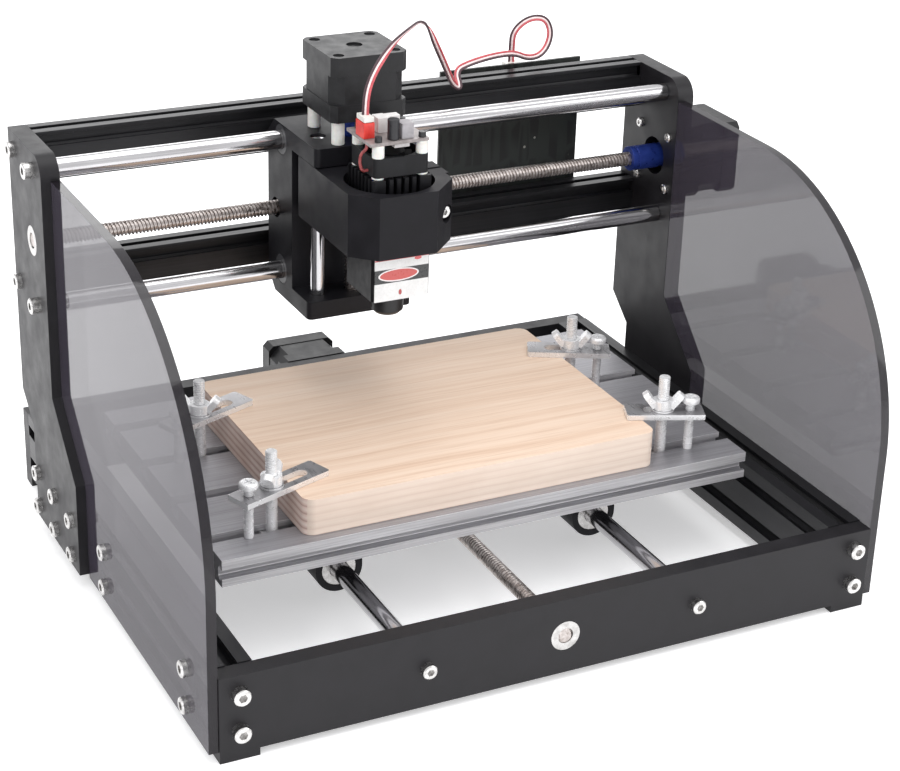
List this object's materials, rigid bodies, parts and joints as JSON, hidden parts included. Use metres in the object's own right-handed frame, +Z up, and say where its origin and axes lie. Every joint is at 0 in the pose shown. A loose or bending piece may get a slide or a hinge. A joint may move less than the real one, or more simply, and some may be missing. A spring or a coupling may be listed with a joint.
{
  "type": "desktop laser cutter",
  "caption": "Open-frame desktop laser cutter: bed sliding front to back under a gantry, laser head on a Z slide, smoked side baffles and clamps holding a plain board.",
  "frame": {"origin": "bottom centre of the machine's bounding box, on the table, leaving out the laser's lead", "axes": "+Z up, +X from the left side plate to the right one with the X motor, +Y from the front plate to the rear plate"},
  "size_m": [0.419, 0.349, 0.2838],
  "materials": {
    "black_plate": "satin phenolic sheet",
    "black_profile": "black anodised extrusion",
    "smoked_acrylic": "polished smoked sheet",
    "ground_rod": "hard chromed and ground",
    "lead_screw_steel": "rolled thread",
    "blue_coupling": "blue anodised",
    "screw_steel": "bright",
    "bearing_steel": "ground",
    "motor_black": "semi-gloss",
    "black_moulding": "moulded",
    "bushing_polymer": "smooth",
    "nut_brass": "turned",
    "white_nylon": "natural nylon",
    "black_heatsink": "black anodised",
    "faceplate_white": "printed panel",
    "lens_black": "black anodised",
    "fan_black": "moulded",
    "circuit_board": "dark solder mask",
    "board_components": "moulded",
    "plug_white": "moulded",
    "lead_insulation": "flat three-core lead",
    "bed_aluminium": "natural anodised",
    "timber": "sanded, laminated edge",
    "zinc_plated": "bright zinc"
  },
  "bodies": {
    "frame": {"front_plate": "black_plate", "rear_plate": "black_plate", "base_profiles": "black_profile", "side_plate_left": "black_plate", "side_plate_right": "black_plate", "gantry_beams": "black_profile", "x_rods": "ground_rod", "y_rods": "ground_rod", "baffle_left": "smoked_acrylic", "baffle_right": "smoked_acrylic", "x_motor": "motor_black", "y_motor": "motor_black", "frame_fasteners": "screw_steel", "baffle_fasteners": "screw_steel", "screw_bearings": "bearing_steel", "control_board": "circuit_board", "board_parts": "board_components", "board_standoffs": "white_nylon", "laser_lead_frame": "lead_insulation", "board_plug": "plug_white"},
    "power_button": {"power_button": "board_components"},
    "x_carriage": {"carriage_block": "black_moulding", "carriage_bushings": "bushing_polymer", "x_nut": "nut_brass", "z_rods": "ground_rod", "z_motor": "motor_black", "motor_standoffs": "white_nylon"},
    "tool": {"tool_clamp": "black_moulding", "clamp_screw": "screw_steel", "z_bushings": "bushing_polymer", "z_nut": "nut_brass", "laser_heatsink": "black_heatsink", "laser_faceplate": "faceplate_white", "fan_housing": "fan_black", "nylon_posts": "white_nylon", "driver_board": "circuit_board", "driver_parts": "board_components", "laser_plug": "plug_white", "laser_lead_tool": "lead_insulation", "fan_lead": "lead_insulation"},
    "fan": {"fan_rotor": "fan_black"},
    "lens": {"lens_barrel": "lens_black"},
    "x_screw": {"x_lead_screw": "lead_screw_steel", "x_coupling": "blue_coupling"},
    "y_screw": {"y_lead_screw": "lead_screw_steel", "y_coupling": "blue_coupling"},
    "z_screw": {"z_lead_screw": "lead_screw_steel", "z_coupling": "blue_coupling"},
    "bed": {"bed_table": "bed_aluminium", "bed_bearings": "black_moulding", "y_nut_block": "black_moulding", "workpiece_board": "timber"},
    "clamp_front_left": {"clamp_front_left": "zinc_plated"},
    "wing_nut_front_left": {"wing_nut_front_left": "zinc_plated"},
    "clamp_back_left": {"clamp_back_left": "zinc_plated"},
    "wing_nut_back_left": {"wing_nut_back_left": "zinc_plated"},
    "clamp_front_right": {"clamp_front_right": "zinc_plated"},
    "wing_nut_front_right": {"wing_nut_front_right": "zinc_plated"},
    "clamp_back_right": {"clamp_back_right": "zinc_plated"},
    "wing_nut_back_right": {"wing_nut_back_right": "zinc_plated"}
  },
  "joints": [
    {"name": "x_slide", "type": "slide", "parent": "frame", "child": "x_carriage", "axis": [1, 0, 0], "range_m": [-0.12, 0.15], "deforming": ["laser_lead_frame"]},
    {"name": "z_slide", "type": "slide", "parent": "x_carriage", "child": "tool", "axis": [0, 0, 1], "range_m": [-0.036, 0], "deforming": ["laser_lead_tool"]},
    {"name": "bed_slide", "type": "slide", "parent": "frame", "child": "bed", "axis": [0, 1, 0], "range_m": [-0.092, 0.074]},
    {"name": "x_screw_turn", "type": "hinge", "parent": "frame", "child": "x_screw", "pos_m": [-0.0145, 0.0655, 0.1745], "axis": [1, 0, 0], "range_deg": [-13550, 10850]},
    {"name": "y_screw_turn", "type": "hinge", "parent": "frame", "child": "y_screw", "pos_m": [-0.0145, -0.0195, 0.025], "axis": [0, 1, 0], "range_deg": [-6710, 8330]},
    {"name": "z_screw_turn", "type": "hinge", "parent": "x_carriage", "child": "z_screw", "pos_m": [-0.0405, 0.0322, 0.18], "axis": [0, 0, 1], "range_deg": [-50, 3290]},
    {"name": "fan_turn", "type": "hinge", "parent": "tool", "child": "fan", "pos_m": [-0.0413, -0.0145, 0.224], "axis": [0, 0, 1], "continuous": true},
    {"name": "lens_turn", "type": "hinge", "parent": "tool", "child": "lens", "pos_m": [-0.0413, -0.0145, 0.148], "axis": [0, 0, 1], "range_deg": [-360, 360]},
    {"name": "power_button_press", "type": "slide", "parent": "frame", "child": "power_button", "axis": [0, -1, 0], "range_m": [0, 0.002], "stiffness_N_per_m": 300},
    {"name": "clamp_slide_front_left", "type": "slide", "parent": "bed", "child": "clamp_front_left", "axis": [1, 0, 0], "range_m": [-0.014, 0.007]},
    {"name": "wing_nut_turn_front_left", "type": "hinge", "parent": "clamp_front_left", "child": "wing_nut_front_left", "pos_m": [-0.1295, -0.0727, 0.088], "axis": [0, 0, 1], "continuous": true},
    {"name": "clamp_slide_back_left", "type": "slide", "parent": "bed", "child": "clamp_back_left", "axis": [1, 0, 0], "range_m": [-0.012, 0.01]},
    {"name": "wing_nut_turn_back_left", "type": "hinge", "parent": "clamp_back_left", "child": "wing_nut_back_left", "pos_m": [-0.1335, 0.0173, 0.088], "axis": [0, 0, 1], "continuous": true},
    {"name": "clamp_slide_front_right", "type": "slide", "parent": "bed", "child": "clamp_front_right", "axis": [1, 0, 0], "range_m": [-0.008, 0.006]},
    {"name": "wing_nut_turn_front_right", "type": "hinge", "parent": "clamp_front_right", "child": "wing_nut_front_right", "pos_m": [0.0948, -0.0727, 0.088], "axis": [0, 0, 1], "continuous": true},
    {"name": "clamp_slide_back_right", "type": "slide", "parent": "bed", "child": "clamp_back_right", "axis": [1, 0, 0], "range_m": [-0.003, 0.01]},
    {"name": "wing_nut_turn_back_right", "type": "hinge", "parent": "clamp_back_right", "child": "wing_nut_back_right", "pos_m": [0.089, 0.0173, 0.088], "axis": [0, 0, 1], "continuous": true}
  ],
  "couplings": [
    {"joint": "x_screw_turn", "follows": "x_slide", "rad_per_m": -1570.8},
    {"joint": "y_screw_turn", "follows": "bed_slide", "rad_per_m": -1570.8},
    {"joint": "z_screw_turn", "follows": "z_slide", "rad_per_m": -1570.8}
  ]
}
